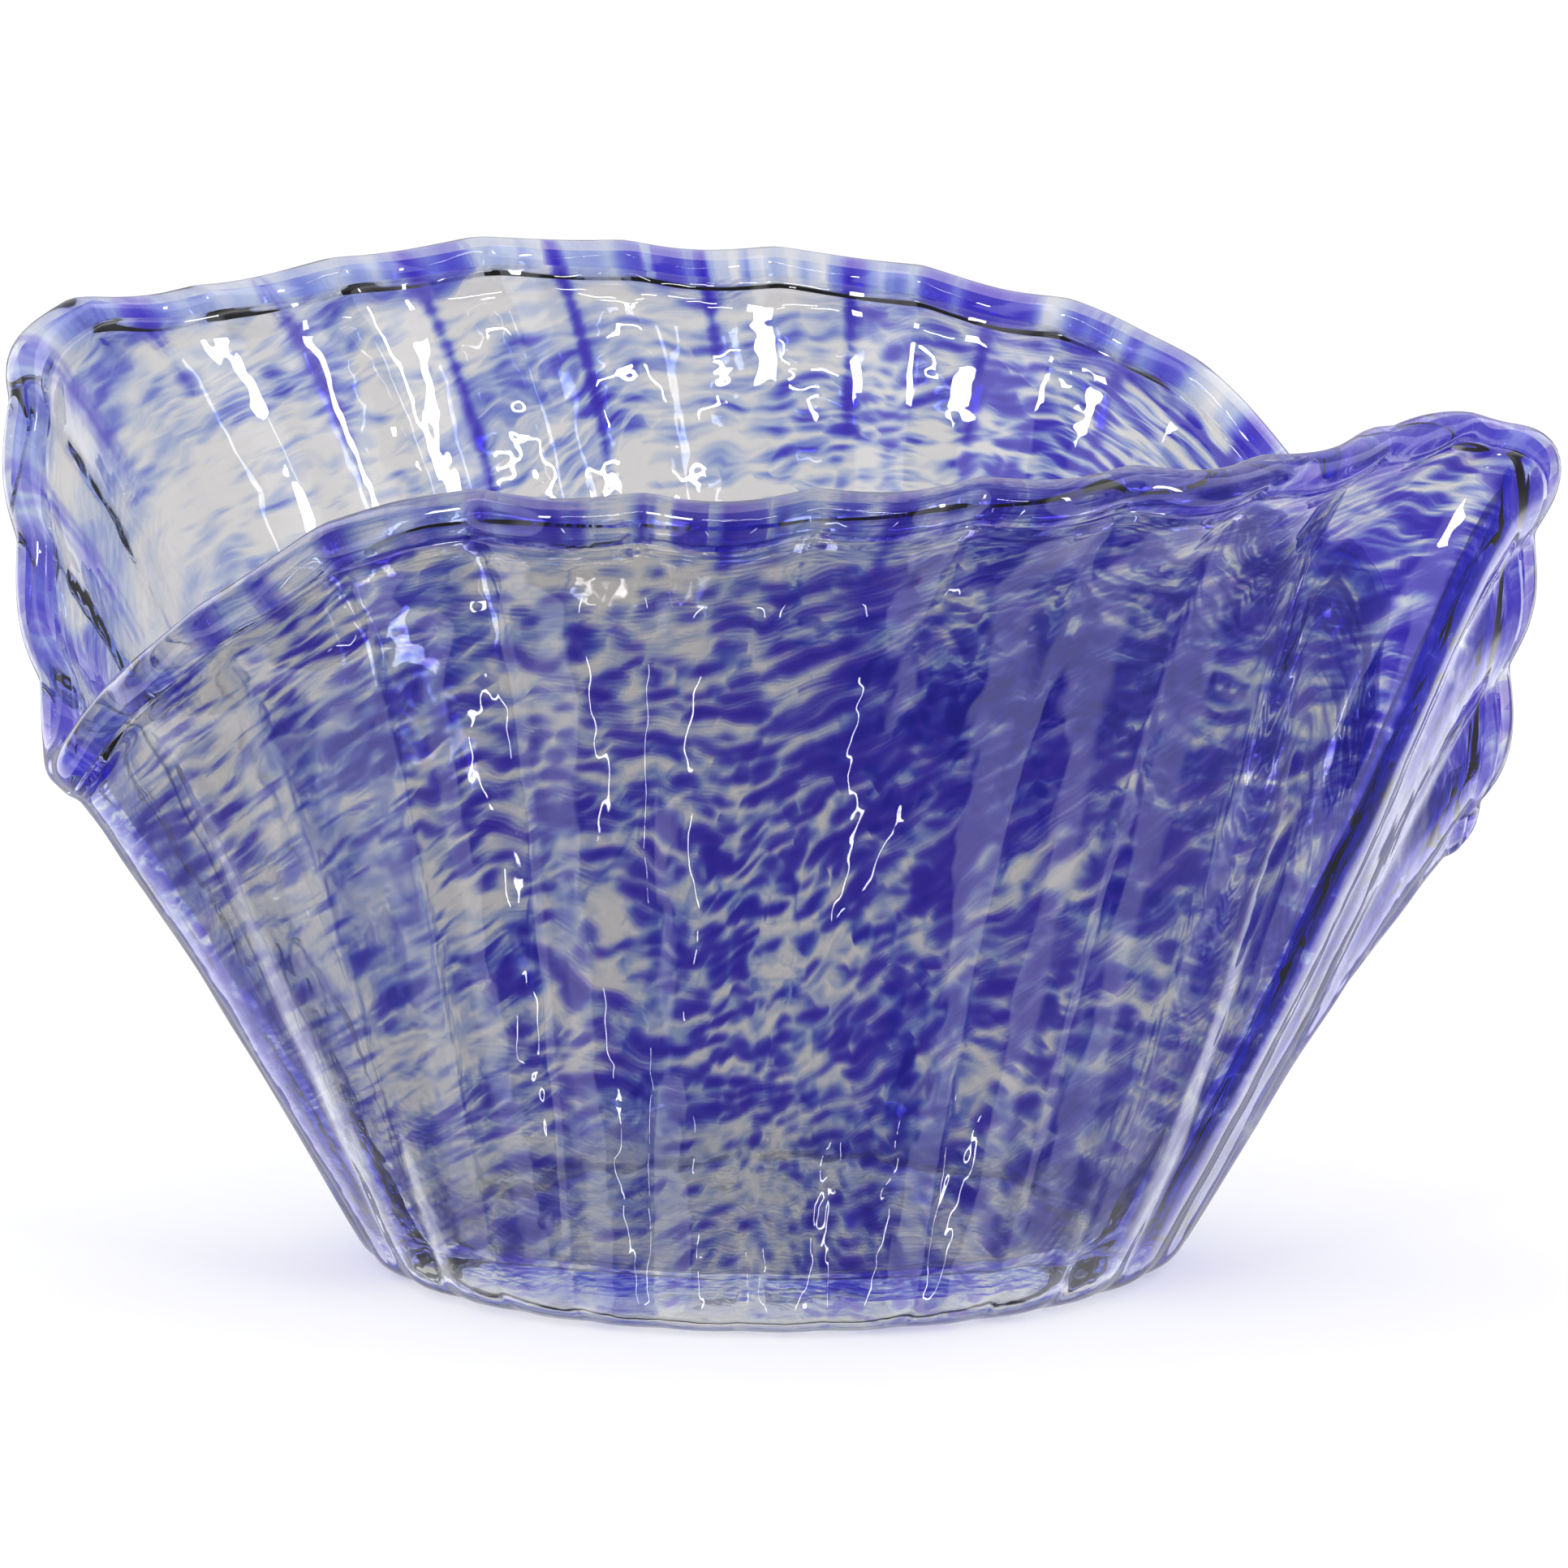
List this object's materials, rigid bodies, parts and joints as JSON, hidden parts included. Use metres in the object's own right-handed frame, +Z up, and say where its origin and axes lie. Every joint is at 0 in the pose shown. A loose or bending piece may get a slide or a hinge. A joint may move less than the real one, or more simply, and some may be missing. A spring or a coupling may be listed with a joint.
{
  "type": "art glass bowl",
  "caption": "Hand-blown ribbed art glass bowl, pulled into a folded oval with two dipped ends, with cobalt frit between clear layers.",
  "frame": {"origin": "centre of the overall bounding box in X and Y, on the plane that the foot rests on", "axes": "+X along the long way of the mouth, from the higher of the two dips to the lower one; -Y towards the lower, front panel; +Z up"},
  "size_m": [0.3048, 0.216, 0.1928],
  "materials": {
    "clear_casing": "clear glass with faint optic ribs, fire polished",
    "cobalt_frit": "melted cobalt blue glass grains, mottled, with clear gaps between them",
    "clear_gather": "clear glass, slightly grey, fire polished",
    "lip_glass": "clear glass rolled over the end of the blue layer, fire polished",
    "base_glass": "thick clear glass, ground and polished flat"
  },
  "bodies": {
    "root": {"outer_casing": "clear_casing", "cobalt_frit_layer": "cobalt_frit", "inner_gather": "clear_gather", "rim_lip": "lip_glass", "base_pad": "base_glass"}
  },
  "joints": []
}
